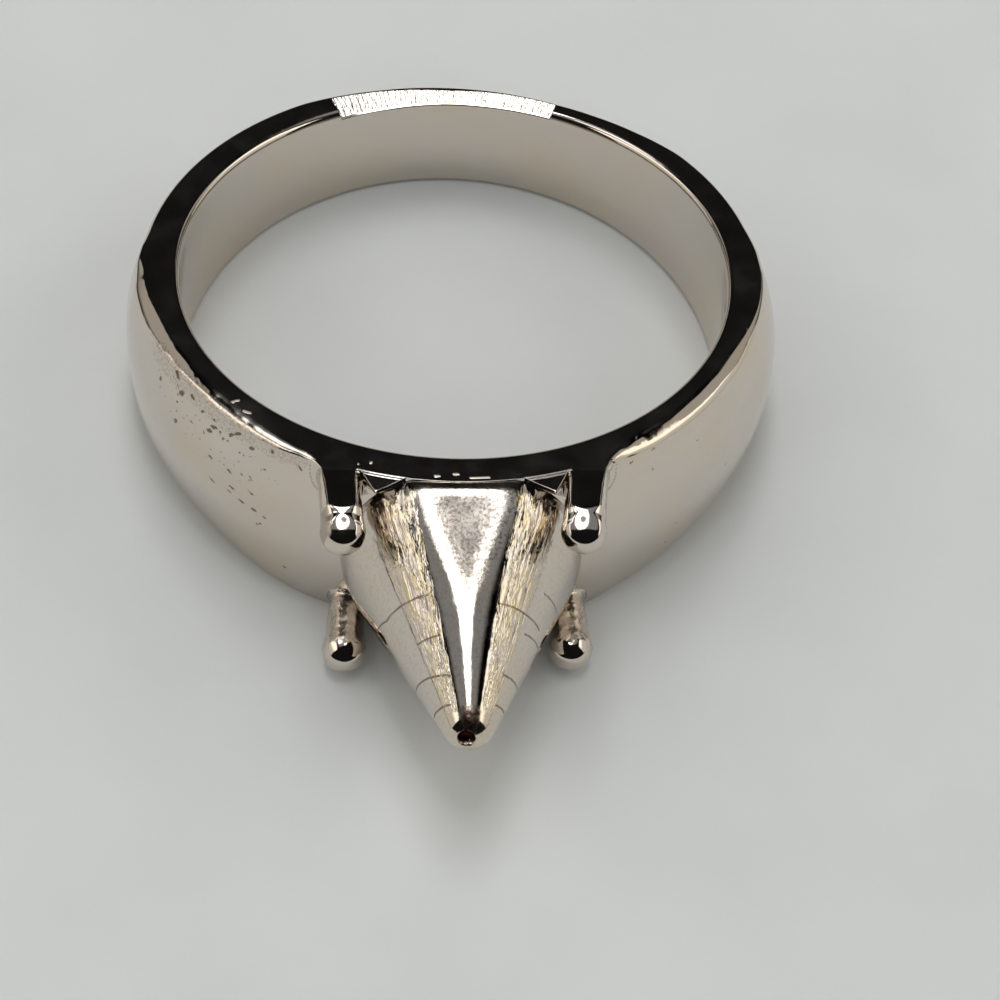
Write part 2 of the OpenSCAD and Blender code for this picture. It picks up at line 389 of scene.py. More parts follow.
def section(s, degrees, upper):
    """Half of the band's section at each angle, from the hole's wall at mid height
    over the rim to the outer wall at mid height: (radii, heights, rows where the flat
    rim starts, the bevel starts and the wall starts), in mm. The rim is the plane
    z = half height - tan(lean) y, the hole's edge and the two edges of the bevel are
    rounded with Bezier curves, and the outer wall is an arc that goes from the bevel's
    edge to the full radius at mid height."""
    turn = np.radians(degrees)
    half = s["height"] / 2
    fall = math.tan(s["lean"]) * np.sin(turn)

    def rim(r):
        return half - fall * r

    # Full radius at mid height: shank or front, with a step between them
    shift = s["shank_shift"]
    shank = -shift * np.sin(turn) + np.sqrt(s["shank_r"] ** 2 - (shift * np.cos(turn)) ** 2)
    in_shank = between(degrees, *SHANK)
    full = shank * in_shank + s["shoulder_r"] * (1 - in_shank)
    flat, crest = along(RIM_EDGE, degrees), along(CREST, degrees)
    # Wear made both edges ragged, more so on the left shoulder.
    worn = between(degrees, *WORN_LEFT) + 0.5 * between(degrees, *WORN_RIGHT)
    if upper:
        place = np.stack([np.cos(turn) * 9.4, np.sin(turn) * 9.4, turn * 0], -1)
        flat = flat + worn * waves(place, RIM_WAVES)
        crest = crest + worn * waves(place, CREST_WAVES)
    under_spike = 1 - ease(from_spike(degrees), *BEVEL_FROM)
    broken = np.maximum(under_spike * BROKEN_FRONT, in_shank * BROKEN_SHANK)
    bevel = np.maximum(s["bevel"], broken)
    flat = np.minimum(flat, crest - 0.01)

    hole = np.full_like(turn, s["finger_r"])
    crest_z = rim(crest) - (crest - flat) * np.tan(bevel)
    wide = np.hypot(crest - flat, crest_z - rim(flat))
    soft = np.minimum(ROUND_MM, ROUND_SHARE * wide)
    slope_r, slope_z = soft * (crest - flat) / wide, soft * (crest_z - rim(flat)) / wide
    sag = np.maximum(full - crest, 0.002)
    arc = (sag**2 + crest_z**2) / (2 * sag)

    def wall(z):
        return full[:, None] - (arc[:, None] - np.sqrt(arc[:, None] ** 2 - z**2))

    # Rows of the inner wall, the hole's edge, the rim, both edges of the bevel, the wall
    counts = (6, 12, 16, 8, 10, 37) if upper else (4, 7, 3, 5, 6, 27)
    edge, low = hole + s["edge_in"], rim(hole) - s["edge_down"]
    inner_z = np.linspace(0, 1, counts[0])[:-1] * low[:, None]
    share = np.linspace(0, 1, counts[2] + 2)[1:-1]
    flat_r = edge[:, None] + share * (flat - soft - edge)[:, None]
    under_z = crest_z - soft
    under_r = wall(under_z[:, None])[:, 0]
    wall_z = under_z[:, None] * np.linspace(1, 0, counts[5] + 1)[1:]
    flat_end, slope_start = flat - soft, (flat + slope_r, rim(flat) + slope_z)
    slope_end = (crest - slope_r, crest_z - slope_z)
    parts = (
        (np.broadcast_to(hole[:, None], inner_z.shape), inner_z),
        bezier((hole, low), (hole, rim(hole)), (edge, rim(edge)), counts[1]),
        (flat_r, half - fall[:, None] * flat_r),
        bezier((flat_end, rim(flat_end)), (flat, rim(flat)), slope_start, counts[3]),
        bezier(slope_end, (crest, crest_z), (under_r, under_z), counts[4]),
        (wall(wall_z), wall_z),
    )
    r, z = (np.concatenate(part, 1) for part in zip(*parts))
    flat_row = counts[0] - 1 + counts[1]
    rows = (flat_row, flat_row + counts[2] + counts[3] // 2, r.shape[1] - counts[5])
    if upper:
        # Shelf at the rim's level
        below = np.maximum(crest_z[:, None] - z, 0)
        out = np.clip((r - SHELF_R) / (crest[:, None] - SHELF_R), 0, 1)
        out = out * (1 - ease(below, 0.04, SHELF_THICK))
        out = out * np.interp(from_spike(degrees), *zip(*SHELF))[:, None]
        r, z = r + out, z - fall[:, None] * out
        # Ground facet, which falls towards the hole from its outer edge
        facet_r = along(FACET_EDGE, degrees)[:, None]
        off = np.abs(degrees - 90) - np.degrees(s["facet"])
        ground = 1 - ease(off, -0.12, 0.12)[:, None]
        plane = half - fall[:, None] * r - (facet_r - r) * math.tan(s["facet_slope"])
        cut = np.where(r < facet_r + 0.03, smooth_min(z, plane, 0.008), z)
        z = z + ground * (cut - z)
    return r, z, rows


# Bright nicks on the flat rim: X and Y of both ends and the width, in mm
NICKS = (
    (-0.87, -9.40, -0.77, -9.40, 0.13), (-0.32, -9.32, -0.21, -9.31, 0.13),
    (-3.14, -8.88, -3.12, -8.87, 0.13), (-2.75, -8.83, -2.73, -8.83, 0.12),
    (0.14, -9.49, 0.70, -9.46, 0.06), (-6.46, -6.60, -6.28, -6.69, 0.12),
    (-6.82, -6.20, -6.62, -6.12, 0.10),
)


def nick_field(points):
    """1 in the middle of each nick and 0 at its edge: one less the distance from the
    line between its ends, over half the width."""
    field = np.zeros(points.shape[:-1])
    for x0, y0, x1, y1, wide in NICKS:
        run = np.array([x1 - x0, y1 - y0])
        off = points[..., :2] - (x0, y0)
        share = np.clip(off @ run / (run @ run), 0, 1)
        away = np.linalg.norm(off - share[..., None] * run, axis=-1)
        field = np.maximum(field, 1 - away / wide * 2)
    return field


def gouge_field(degrees, r, z):
    """1 in the middle of each gouge, 0 at its edge and less outside, down to -1: one
    less the distance in an oval that is turned on the wall."""
    field = np.full(r.shape, -1.0)
    for at, height, long, wide, turn in GOUGES:
        apart = (degrees[:, None] - at + 180) % 360 - 180
        level = np.radians(apart) * GOUGED_R
        up = z - height
        cos, sin = math.cos(math.radians(turn)), math.sin(math.radians(turn))
        lengthways = (level * cos + up * sin) / (long / 2)
        across = (up * cos - level * sin) / (wide / 2)
        field = np.maximum(field, 1 - np.hypot(lengthways, across))
    return np.where(r > GOUGED_FROM_R, field, -1)


def band_points(s):
    """The whole band as a grid of sections, closed both ways: (points, fields). The
    fields say where the gouges, the scuffed patch, the pockets, the ground facet, the
    flat rim, the worn crest and the nicks are, and how far the seam is."""
    degrees = band_columns()
    top_r, top_z, rows = section(s, degrees, True)
    low_r, low_z, _ = section(s, degrees, False)
    # The lower half goes back from the outer wall to the hole's wall.
    r = np.concatenate([top_r, low_r[:, -2:0:-1]], 1)
    z = np.concatenate([top_z, -low_z[:, -2:0:-1]], 1)
    turn = np.radians(degrees)[:, None]
    gouge = gouge_field(degrees, r, z)
    row = np.arange(r.shape[1])[None, :]
    upper = row < top_r.shape[1]
    wall = upper & (row >= rows[2])
    here = np.stack([r * np.cos(turn), r * np.sin(turn), z], -1)
    # The crests are dented for 0.7 mm below their edge, the right one less deeply.
    below = top_z[:, rows[2] - 1][:, None] - z
    crest = between(degrees, *DENTED_LEFT) + 0.35 * between(degrees, *DENTED_RIGHT)
    crest = crest[:, None] * (1 - ease(below, 0.1, 0.75)) * upper * (row > rows[1] + 3)
    r = r - GOUGE_DEEP * ease(gouge, -0.4, 0.6)
    r = r + crest * waves(here, DENTS) + waves(here, HAND_WAVES) * wall
    off = np.abs(degrees - 90) - np.degrees(s["facet"])
    facet = upper & (r < along(FACET_EDGE, degrees)[:, None])
    facet = facet & (z > top_z[:, rows[0] - 6][:, None])
    facet = (1 - ease(off, -0.12, 0.12))[:, None] * facet
    flat = upper & (row >= rows[0] - 2) & (row <= rows[1] + 1)
    points = np.stack([r * np.cos(turn), r * np.sin(turn), z], -1)
    # The left shoulder is scuffed below its crest.
    scuffed = between(degrees, *SCUFFED)[:, None] * ease(z, 0.6, 1.8) * wall
    beside = from_spike(degrees)
    in_pocket = (beside > SEAM_FROM) & (beside < SEAM_TO)
    fields = {
        "gouge": gouge,
        "scuffed": scuffed,
        "seam": r - SEAM_R,
        "pocket": in_pocket[:, None] & upper,
        "facet": facet,
        "rim": flat * (1 - facet),
        "crest": crest,
        "nick": np.maximum(nick_field(points), 0) * flat,
    }
    return points, fields


# ------------------------------------------------------------------------- prongs


# Each prong's side and level, and the place of its ball: distance from the middle,
# from the finger axis and from mid height, in mm. They were not cast quite alike.
PRONGS = (
    ("upper_left", -1, 1, 3.58, 11.13, 2.60),
    ("upper_right", 1, 1, 3.42, 11.12, 2.65),
    ("lower_left", -1, -1, 3.46, 11.20, 2.65),
    ("lower_right", 1, -1, 3.34, 11.14, 2.62),
)
# How finely a prong is cut: rows along its neck and round its ball, and points around
NECK_ROWS, BALL_ROWS, PRONG_SIDES = 62, 40, 120


def dome_r(z, full, curve):
    """Radius of a domed wall at the height z from mid height."""
    return full - curve + np.sqrt(curve**2 - np.minimum(np.abs(z), curve - 0.01) ** 2)


def prong_points(s, band, side, level, ball_at):
    """One prong as a rounded square section carried along the line from its root in
    the wall to its ball: (points, start cap, end cap, fields). The radius is the
    greater of the neck's and the ball's. Near the wall a fillet widens it by
    R - sqrt(R^2 - (R - d)^2), with d its distance from the wall and R the fillet's
    radius. The top is cut off a hair over the rim as far as the flat goes, and by a
    part of a larger ball beyond that. The fields say where the skin is rough and where
    it is stained."""
    half, lean = band["height"] / 2, band["lean"]
    lower = 1 if level < 0 else 0
    root = np.array(
        [s["root_x"] - lower * s["low_in"], -s["root_y"], s["root_z"] - lower * s["low_up"]]
    )
    ball = np.array([ball_at[0], -ball_at[1], ball_at[2]])
    line = ball - root
    full = np.linalg.norm(line)
    line = line / full
    side_way = np.cross(line, [0, 0, 1])
    side_way /= np.linalg.norm(side_way)
    up = np.cross(side_way, line)
    # Rows: even along the neck from inside the wall, then even in angle round the ball
    neck = np.linspace(0.05 * full, full - 0.3, NECK_ROWS)
    bow = np.linspace(-0.5, math.pi / 2, BALL_ROWS + 2)[1:-1]
    t = np.concatenate([neck, full + s["ball_r"] * np.sin(bow)])
    off = np.clip(t - full, -s["ball_r"], s["ball_r"])
    sphere = np.sqrt(np.maximum(s["ball_r"] ** 2 - off**2, 0))
    # The lower necks are a quarter thinner at the root.
    neck_r = np.where(t < full, s["neck_r"] * (1 - 0.25 * lower * (1 - t / full)), -1)
    radius = np.where(t > full - 0.02, sphere, smooth_max(sphere, neck_r, 0.05))[:, None]
    turn = np.linspace(0, 2 * math.pi, PRONG_SIDES, endpoint=False)
    cos, sin = np.cos(turn), np.sin(turn)
    # The neck is a little square, the ball is round.
    square = 2 + (0.5 if level > 0 else 0.1) * (1 - ease(t, full - 0.5, full))[:, None]
    radius = radius / (np.abs(cos) ** square + np.abs(sin) ** square) ** (1 / square)
    spread = cos[:, None] * up + sin[:, None] * side_way
    points = root + t[:, None, None] * line + radius[..., None] * spread
    # Fillet at the wall
    wall = dome_r(points[..., 2], band["shoulder_r"], band["seat_dome"])
    away = np.hypot(points[..., 0], points[..., 1]) - wall
    fillet = s["fillet"] * (1 - 0.5 * lower)
    near = fillet - np.clip(away, 0, fillet)
    widen = fillet - np.sqrt(fillet**2 - near**2)
    widen = widen * (1 - ease(-away, 0, 0.12))
    # Cast metal: lumps of about 0.3 mm, deeper on the lower prongs' necks
    rough = 0.004 + 0.014 * lower * (1 - ease(t, full - 0.1, full + 0.35))
    lumps = rough[:, None] * ripple(points * [side, 1, level], 0.34, 21 + side + 2 * level)
    widen = widen * (1 - ease(cos, 0.3, 0.8))
    points = points + (widen + lumps)[..., None] * spread
    # The neck is filled up to the rim's plane as far as the flat goes, then cut there.
    # It stands a hair over the rim's shelf beside it, which hides the shelf's edge.
    hair = 0.01
    plane = half - points[..., 1] * math.tan(lean) + hair * ease(-points[..., 1], 9.0, 9.5)
    end = s["flat_end"]
    axis_gap = half - (root + t[:, None] * line) @ [0, math.tan(lean), 1]
    filled = np.clip(axis_gap - s["flat_drop"], 0, 0.3)[:, None]
    filled = filled * (1 - ease(-points[..., 1], end - 0.1, end + 0.3))
    raised = points[..., 2] + filled * np.maximum(cos, 0)
    raised = smooth_min(raised, plane, 0.02)
    # The top of the ball is worn to a flatter curve beyond the flat, flatter still from
    # side to side.
    beyond = np.maximum(-points[..., 1] - s["worn_y"], 0)
    aside = 0.87 * (points[..., 0] - ball[0]) * ease(beyond, 0, 0.35)
    worn = s["worn_z"] + np.sqrt(np.maximum(s["worn_r"] ** 2 - aside**2 - beyond**2, 0))
    points[..., 2] = smooth_min(raised, worn, 0.03)
    start = points[0].mean(0)
    tip = points[-1].mean(0) + 0.001 * line
    flip = np.array([side, 1, level])
    # The skin is rough on the lower necks and on the outside of the upper left ball.
    outside = np.clip(-sin * (side < 0), 0, 1)
    near_ball = between(t, full - 0.75, full - 0.35, full + 0.2, full + 0.5)[:, None]
    stain = ease(outside, 0.35, 0.8) * near_ball * (1 - lower)
    lumpy = (1 - ease(t, full - 0.15, full + 0.3))[:, None] * lower
    fields = {"stain": stain, "cast": np.clip(stain + lumpy, 0, 1)}
    return points * flip, start * flip, tip * flip, fields


# -------------------------------------------------------------------------- spike


# Turning marks cut into the flank: angle from the top in degrees and distance from
# the finger axis in mm, at both ends. Left is negative. MM_PER_DEG is about how far a
# degree reaches round the flank there.
TURNING_MARKS = (
    (-30, 12.94, -75, 12.78), (-75, 12.78, -112, 12.10), (-28, 14.10, -54, 14.06),
    (-26, 15.25, -102, 14.73), (-38, 16.00, -93, 15.86), (62, 12.27, 88, 12.01),
    (26, 13.23, 74, 13.13), (58, 13.65, 89, 13.35), (49, 15.05, 92, 14.84),
    (51, 15.92, 88, 15.76),
)
MM_PER_DEG = 0.03
# Distance from the finger axis where the rings of even height start
FLANK_FROM = 9.8
# How many rings cut the spike's hollow base, its foot, its flank and its tip
BASE_RINGS, FOOT_RINGS, FLANK_RINGS, TIP_RINGS = 11, 14, 115, 35


def spike_points(s, band):
    """The spike as rings about its own axis, from its hollow base to its tip:
    (points, base cap, tip cap, fields). The radius is the least of the base's, the
    rounded shoulder's and the flank's, both flats cut it at their height over the
    cosine of the angle, and the tip is a ball that touches the flank, with a pit in
    it. The fields are the distance from the finger axis, the angle from the top, where
    the filed flat, the coarse flanks and the pit are, and the distance from the nearest
    turning mark."""
    half, lean = band["height"] / 2, band["lean"]
    slope = s["flank_slope"]
    flank = math.atan(slope)
    tip_r = (s["apex_y"] - s["tip_y"]) / (1 / math.sin(flank) - 1)
    ball_h = s["tip_y"] - tip_r

    def seat(z):
        return dome_r(z, band["shoulder_r"], band["seat_dome"]) + s["seat_gap"]

    # Angles from the top: close together about the flats
    fine = np.linspace(-60, 60, 321)[:-1]
    side = np.linspace(60, 130, 51)[:-1]
    under = np.linspace(130, 230, 111)[:-1]
    degrees = np.concatenate([fine, side, under, side + 170])
    turn = np.radians(degrees)
    # Rings: the foot, from the edge of the base up, then the flank, then the tip's ball
    foot = np.linspace(0, 1, FOOT_RINGS, endpoint=False)
    ball_from = ball_h + tip_r * math.sin(flank)
    share = np.linspace(0, 1, FLANK_RINGS, endpoint=False)
    flank_h = FLANK_FROM + (ball_from - FLANK_FROM) * share
    bow = np.linspace(flank, math.pi / 2, TIP_RINGS, endpoint=False)
    x0, z0 = s["base_r"] * np.sin(turn), s["base_r"] * np.cos(turn)
    h0 = np.sqrt(seat(np.clip(z0, -3.2, 3.2)) ** 2 - x0**2)
    h = np.concatenate(
        [
            h0 + (FLANK_FROM - h0) * foot[:, None],
            np.broadcast_to(flank_h[:, None], (flank_h.size, turn.size)),
            np.broadcast_to((ball_h + tip_r * np.sin(bow))[:, None], (bow.size, turn.size)),
        ]
    )
    on_ball = FOOT_RINGS + FLANK_RINGS
    shoulder = s["base_r"] - s["shoulder_slope"] * (h - s["base_y"])
    straight = slope * (s["apex_y"] - h)
    radius = smooth_min(s["base_r"], np.minimum(shoulder, straight), 0.08)
    radius[on_ball:] = (tip_r * np.cos(bow))[:, None]
    # To both sides of the filed flat the flanks are coarse, with waves along them and
    # lumps near the base.
    side_deg = np.degrees(np.arctan2(np.sin(turn), np.cos(turn)))[None, :]
    beside = np.abs(side_deg)
    coarse = between(beside, 21, 30, 46, 56) * between(h, 9.5, 10.0, 15.9, 16.4)
    here = np.stack([radius * np.sin(turn), -h * 0.35, radius * np.cos(turn)], -1)
    lumps = np.stack([radius * np.sin(turn), -h, radius * np.cos(turn)], -1)
    near_base = 1 - ease(h, 10.6, 12.2)
    radius = radius + coarse * 0.005 * ripple(here, 0.2, 31)
    radius = radius + coarse * near_base * 0.014 * ripple(lumps, 0.36, 32)
    file_z = half + s["file_y"] * math.tan(lean)
    rim = half + h * math.tan(lean)
    filed = file_z - (h - s["file_y"]) * math.tan(s["file_slope"])
    cut = smooth_min(rim, filed, 0.04)
    cos = np.maximum(np.abs(np.cos(turn)), 0.05)
    flat_here = ease(radius - cut / cos, -0.06, 0.05)
    radius = smooth_min(radius, cut / cos, s["file_round"])
    x, z = radius * np.sin(turn), radius * np.cos(turn)
    # The first ring lies on the wall that the spike stands on.
    h[0] = np.sqrt(seat(z[0]) ** 2 - x[0] ** 2)
    # The pit: a ball whose middle lies on the tip's own ball
    pit_h = ball_h + math.sqrt(tip_r**2 - s["pit_x"] ** 2 - s["pit_z"] ** 2)
    gone = np.hypot(x + s["pit_x"], z - s["pit_z"])
    deep = pit_h - np.sqrt(np.maximum(s["pit_r"] ** 2 - gone**2, 0))
    in_pit = (gone < s["pit_r"]) & (h > ball_h)
    h = np.where(in_pit, np.minimum(h, deep), h)
    points = np.stack([x, -h, z], -1)
    pit = (1 - ease(gone, s["pit_r"] - 0.06, s["pit_r"] + 0.03)) * (h > ball_h - 0.3)
    # The dirt runs up the end of the filed flat.
    smear = 0.62 * ease(h, 15.75, 16.35) * (1 - ease(beside, 16, 40))
    pit = np.maximum(pit, smear)
    # The hollow base: the first ring drawn in towards its middle
    draw = np.linspace(0, 1, BASE_RINGS + 2)[1:-1, None]
    base_x, base_z = x[0] * draw, z[0] * draw
    base = np.stack([base_x, -np.sqrt(seat(base_z) ** 2 - base_x**2), base_z], -1)
    points = np.concatenate([base, points])
    # Distance from the nearest turning mark, in mm
    marked = np.full(h.shape, 1.0)
    for start_deg, start_h, end_deg, end_h in TURNING_MARKS:
        mark_h = np.interp(side_deg, *zip(*sorted(((start_deg, start_h), (end_deg, end_h)))))
        middle, reach = (start_deg + end_deg) / 2, abs(end_deg - start_deg) / 2
        beyond = np.maximum(np.abs(side_deg - middle) - reach, 0) * MM_PER_DEG
        marked = np.minimum(marked, np.hypot(h - mark_h, beyond))

    def whole(value, field):
        """A field with its value on the hollow base put before it."""
        hollow = np.broadcast_to(value, (draw.size, turn.size))
        return np.concatenate([hollow, np.broadcast_to(field, h.shape)])

    fields = {
        "axis_mm": whole(9.5, h),
        "angle_deg": whole(side_deg, side_deg),
        "filed": whole(0, flat_here),
        "coarse": whole(0, coarse),
        "pit": whole(0, pit),
        "marked": whole(1, marked),
    }
    middle = math.hypot(s["pit_x"], s["pit_z"])
    tip = [0, -(pit_h - math.sqrt(s["pit_r"] ** 2 - middle**2)), 0]
    return points, [0, -seat(np.zeros(1))[0], 0], tip, fields


# ---------------------------------------------------------------------- materials


# Dirt that has settled thinly: none where a pattern is at 0.4, a third at 0.7
THIN_DIRT = (0.4, 0.7, 0.0, 0.35)
PIT_DIRT = linear("#3a1d16")


def add(tree, kind, links=None, values=None, out=0, **settings):
    """Adds a node, gives its properties and its inputs' values, links its inputs and
    gives one of its outputs. Inputs and outputs are called by name or number, and an
    input whose source is None stays unlinked."""
    node = tree.nodes.new("ShaderNode" + kind)
    for key, value in settings.items():
        setattr(node, key, value)
    for key, value in (values or {}).items():
        node.inputs[key].default_value = value
    for key, source in (links or {}).items():
        if source is not None:
            tree.links.new(source, node.inputs[key])
    return node.outputs[out] if len(node.outputs) else None


def span(low, high, start=0.0, end=1.0):
    """A Map Range node's values, which take low to start and high to end."""
    return {"From Min": low, "From Max": high, "To Min": start, "To Max": end}


def new_material(name):
    """An empty node material, its tree and its Object coordinates."""
    made = bpy.data.materials.new(name)
    made.use_nodes = True
    tree = made.node_tree
    tree.nodes.clear()
    return made, tree, add(tree, "TexCoord", out="Object")


def scale_for(mm):
    """The scale at which a pattern's features are this size."""
    return 1 / (mm * MM)


def plated_skin(tree, place, look):
    """What all the plated metal has: faint warm clouds a few mm wide where the plating
    is thinner, a polish that is a little hazier in patches of about 1 mm, and orange
    peel, the soft waves that plating leaves. Gives the colour, the roughness and the
    waves."""
    clouds = add(tree, "TexNoise", {"Vector": place}, {"Scale": scale_for(2.6), "Detail": 3.0})
    thin = add(tree, "MapRange", {"Value": clouds}, span(0.42, 0.72, 0.0, 0.3))
    colours = {6: (*look.plate, 1), 7: (*look.worn, 1)}
    tint = add(tree, "Mix", {0: thin}, colours, 2, data_type="RGBA")
    patches = add(tree, "TexNoise", {"Vector": place}, {"Scale": scale_for(0.9), "Detail": 5.0})
    haze = span(0.35, 0.7, 0.7 * look.polish, 1.9 * look.polish)
    rough = add(tree, "MapRange", {"Value": patches}, haze)
    waves = {"Scale": 1 / look.peel, "Detail": 1.5, "Roughness": 0.4}
    return tint, rough, add(tree, "TexNoise", {"Vector": place}, waves)


def field_mask(tree, name, low, high, blur=None, by=0.0):
    """1 where a field of the mesh is over high, 0 where it is under low. A pattern
    given as blur shifts the field by up to half of by, which roughens the edge."""
    value = add(tree, "Attribute", out="Fac", attribute_name=name)
    if blur is not None:
        value = add(tree, "Math", {0: blur, 2: value}, {1: by}, operation="MULTIPLY_ADD")
        value = add(tree, "Math", {0: value}, {1: by / 2}, operation="SUBTRACT")
    return add(
        tree, "MapRange", {"Value": value}, span(low, high), interpolation_type="SMOOTHSTEP"
    )


def finish_metal(tree, tint, rough, bumps, coats, hazes):
    """Polished metal, sent to the output. Its normal is bent by bumps of (height,
    deepest mm, mask), its colour lies under coats of (share, colour), and hazes of
    (mask, more) add to its roughness."""
    normal = None
    for height, mm, mask in bumps:
        links = {"Height": height, "Strength": mask, "Normal": normal}
        normal = add(tree, "Bump", links, {"Distance": mm * MM})
    for share, coat in coats:
        tint = add(tree, "Mix", {0: share, 6: tint}, {7: (*coat, 1)}, 2, data_type="RGBA")
    for mask, more in hazes:
        rough = add(tree, "Math", {0: mask, 2: rough}, {1: more}, operation="MULTIPLY_ADD")
    skin = {"Base Color": tint, "Roughness": rough, "Normal": normal}
    metal = add(tree, "BsdfPrincipled", skin, {"Metallic": 1.0})
    add(tree, "OutputMaterial", {"Surface": metal})


def buffed_plate(name, look):
    """Cast brass, buffed on a wheel and plated: nearly a mirror, with brown dirt in its
    gouges, a dented and rubbed left crest, file strokes across the ground facet, a
    bright seam in the pockets, and fine scratches and nicks on the flat rim."""
    made, tree, place = new_material(name)
    tint, rough, peel = plated_skin(tree, place, look)
    # The casting's grain, 0.08 mm, and the crest's dents, 0.22 mm
    grain, dents = (
        add(tree, "TexNoise", {"Vector": place}, {"Scale": scale_for(mm), "Detail": 3.0})
        for mm in (0.08, 0.22)
    )
    gouge = field_mask(tree, "gouge", -0.15, 0.25, grain, 1.1)
    crest = field_mask(tree, "crest", 0.05, 0.9, grain, 0.5)
    facet, rim = (field_mask(tree, field, 0.4, 0.6) for field in ("facet", "rim"))
    nick = field_mask(tree, "nick", 0.1, 0.6)
    pocket, scuffed = (field_mask(tree, field, 0.0, 1.0) for field in ("pocket", "scuffed"))
    # File strokes: one every 0.09 mm round the facet, straight out from the hole
    stroke_mm, stroke_r = 0.09, 8.8
    east, north = (add(tree, "SeparateXYZ", {"Vector": place}, out=axis) for axis in "XY")
    turn = add(tree, "Math", {0: north, 1: east}, operation="ARCTAN2")
    across = add(tree, "Math", {0: turn}, {1: stroke_r / stroke_mm}, operation="MULTIPLY")
    outwards = add(tree, "Math", {0: north}, {1: scale_for(0.6)}, operation="MULTIPLY")
    unrolled = add(tree, "CombineXYZ", {"X": across, "Y": outwards})
    strokes = add(tree, "TexNoise", {"Vector": unrolled}, {"Scale": 1.0, "Detail": 3.0})
    # Thin lines cut out of two stretched patterns: scratches on the rim, and short
    # brown scuffs below the left crest
    lines = []
    for way, stretch in ((0.5, (1, 0.1, 1)), (0.9, (0.25, 1, 1))):
        turned = {"Rotation": (0, 0, way), "Scale": stretch}
        turned = add(tree, "Mapping", {"Vector": place}, turned)
        drawn = add(tree, "TexNoise", {"Vector": turned}, {"Scale": scale_for(0.12), "Detail": 2.0})
        lines.append(add(tree, "MapRange", {"Value": drawn}, span(0.66, 0.72)))
    scratches, scuffs = lines
    # Seam beside each shelf: two ridges 0.06 mm wide and 0.1 mm apart
    ridge = add(tree, "Attribute", out="Fac", attribute_name="seam")
    for step, by in (("ABSOLUTE", 0.0), ("SUBTRACT", 0.05), ("ABSOLUTE", 0.0)):
        ridge = add(tree, "Math", {0: ridge}, {1: by}, operation=step)
    ridge = add(tree, "MapRange", {"Value": ridge}, span(0.0, 0.03, 1.0, 0.0))
    dirt = add(tree, "Math", {0: crest, 1: grain}, operation="MULTIPLY")
    dirt = add(tree, "MapRange", {"Value": dirt}, span(*THIN_DIRT))
    deep = add(tree, "Math", {0: gouge}, {1: 0.85}, operation="MULTIPLY")
    scuffs = add(tree, "Math", {0: scuffs, 1: scuffed}, operation="MULTIPLY")
    bumps = (
        (peel, 0.005, None), (dents, 0.008, crest), (strokes, 0.04, facet), (grain, 0.012, facet),
        (scratches, 0.002, rim), (ridge, 0.012, pocket), (nick, 0.01, None), (grain, 0.004, gouge),
    )
    coats = [(share, look.grime) for share in (dirt, deep, scuffs)]
    hazes = ((crest, 0.06), (facet, 0.05), (rim, 0.04), (gouge, 0.12), (nick, 0.5))
    finish_metal(tree, tint, rough, bumps, coats, hazes)
    return made


def cast_plate(name, look):
    """Cast brass, plated without buffing: the mould's grain and small lumps still show
    on the lower necks, and there is a brown stain on one ball."""
    made, tree, place = new_material(name)
    tint, rough, peel = plated_skin(tree, place, look)
    lumps = add(tree, "TexNoise", {"Vector": place}, {"Scale": scale_for(0.16), "Detail": 3.0})
    cast = field_mask(tree, "cast", 0.1, 0.9)
    stain = field_mask(tree, "stain", 0.2, 0.7, lumps, 0.8)
    dirt = add(tree, "MapRange", {"Value": stain}, span(*THIN_DIRT))
    bumps = ((peel, 0.006, None), (lumps, 0.03, cast))
    finish_metal(tree, tint, rough, bumps, [(dirt, look.grime)], ((cast, 0.16), (stain, 0.2)))
    return made


